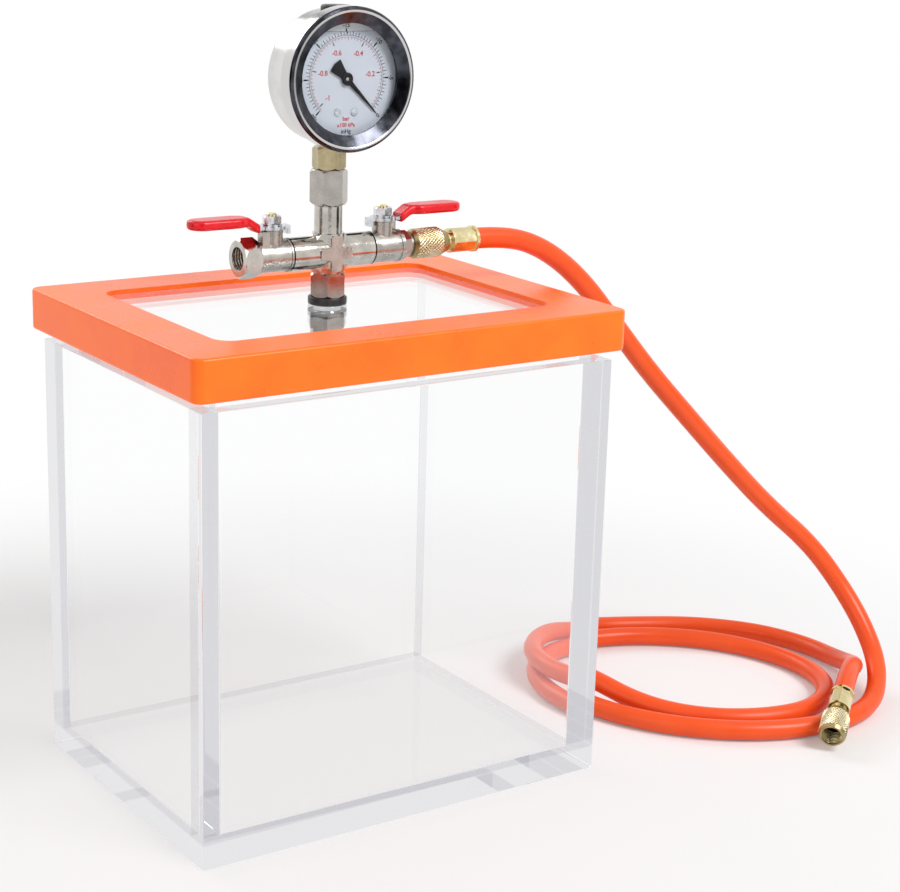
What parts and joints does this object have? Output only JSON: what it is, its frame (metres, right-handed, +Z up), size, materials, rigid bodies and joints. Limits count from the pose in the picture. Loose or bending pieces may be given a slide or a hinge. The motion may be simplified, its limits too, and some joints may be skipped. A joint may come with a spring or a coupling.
{
  "type": "vacuum chamber",
  "caption": "Clear-walled vacuum chamber with a silicone-edged clear lid, a manifold with lever ball valves, a vacuum gauge with its movement and a coiled charging hose.",
  "frame": {"origin": "middle of the underside of the base plate, on the surface it stands on", "axes": "+Z up, -Y out of the front wall and the gauge's dial, +X towards the hose's valve"},
  "size_m": [0.4368, 0.2237, 0.3752],
  "materials": {
    "clear_acrylic": "polished, clear",
    "orange_silicone": "smooth, satin",
    "black_rubber": "satin",
    "polished_nickel": "polished, slightly cast",
    "satin_nickel": "satin",
    "brass": "machined, bright",
    "zinc_steel": "zinc plated",
    "red_vinyl": "dipped, glossy",
    "ptfe": "matt",
    "stainless": "polished",
    "window_clear": "polished",
    "white_enamel": "white enamel with printed scales",
    "black_enamel": "black enamel",
    "red_hose": "smooth, glossy"
  },
  "bodies": {
    "chamber": {"base_plate": "clear_acrylic", "front_wall": "clear_acrylic", "back_wall": "clear_acrylic", "left_wall": "clear_acrylic", "right_wall": "clear_acrylic", "rim_frame": "clear_acrylic", "lid_plate": "clear_acrylic", "lid_gasket": "orange_silicone", "lid_adapter": "polished_nickel", "upper_seal_washer": "black_rubber", "lower_seal_washer": "black_rubber", "lid_nut": "polished_nickel", "cross_fitting": "polished_nickel", "gauge_coupling": "satin_nickel", "left_valve_body": "polished_nickel", "left_valve_seats": "ptfe", "left_stem_seal": "ptfe", "right_valve_body": "polished_nickel", "right_valve_seats": "ptfe", "right_stem_seal": "ptfe", "left_port_end": "polished_nickel", "right_flare_end": "polished_nickel", "near_ferrule": "brass", "near_insert": "brass", "near_hose_gasket": "black_rubber", "near_hose_nut": "brass", "far_ferrule": "brass", "far_insert": "brass", "far_hose_gasket": "black_rubber", "hose": "red_hose", "gauge_stem": "brass", "gauge_case": "stainless", "gauge_bezel": "stainless", "gauge_window": "window_clear", "window_gasket": "black_rubber", "gauge_dial": "white_enamel", "dial_screws": "zinc_steel", "movement_frame": "brass", "bourdon_tube": "brass", "fill_plug": "black_rubber"},
    "left_lever_set": {"left_lever": "zinc_steel", "left_lever_grip": "red_vinyl", "left_lever_nut": "zinc_steel", "left_valve_stem": "brass", "left_valve_ball": "polished_nickel"},
    "right_lever_set": {"right_lever": "zinc_steel", "right_lever_grip": "red_vinyl", "right_lever_nut": "zinc_steel", "right_valve_stem": "brass", "right_valve_ball": "polished_nickel"},
    "pointer_set": {"pointer": "black_enamel", "pinion": "brass"},
    "sector_set": {"sector_gear": "brass"},
    "link_set": {"link": "brass"},
    "far_nut_set": {"far_hose_nut": "brass"}
  },
  "joints": [
    {"name": "left_lever_turn", "type": "hinge", "parent": "chamber", "child": "left_lever_set", "pos_m": [-0.0305, 0, 0.27], "axis": [0, 0, 1], "range_deg": [-90, 0]},
    {"name": "right_lever_turn", "type": "hinge", "parent": "chamber", "child": "right_lever_set", "pos_m": [0.0305, 0, 0.27], "axis": [0, 0, 1], "range_deg": [-90, 0]},
    {"name": "sector_swing", "type": "hinge", "parent": "chamber", "child": "sector_set", "pos_m": [-0.01237, -0.008, 0.32963], "axis": [0, -1, 0], "range_deg": [-45, 0]},
    {"name": "pointer_turn", "type": "hinge", "parent": "chamber", "child": "pointer_set", "pos_m": [0, -0.008, 0.342], "axis": [0, -1, 0], "range_deg": [0, 270]},
    {"name": "link_pivot", "type": "hinge", "parent": "sector_set", "child": "link_set", "pos_m": [-0.01626, -0.007, 0.32574], "axis": [0, -1, 0], "range_deg": [0, 45]},
    {"name": "far_nut_spin", "type": "hinge", "parent": "chamber", "child": "far_nut_set", "pos_m": [0.24168, -0.12099, 0.01394], "axis": [-0.7658, -0.5993, -0.2331], "continuous": true}
  ],
  "couplings": [
    {"joint": "pointer_turn", "follows": "sector_swing", "ratio": -6},
    {"joint": "link_pivot", "follows": "sector_swing", "ratio": -1}
  ]
}
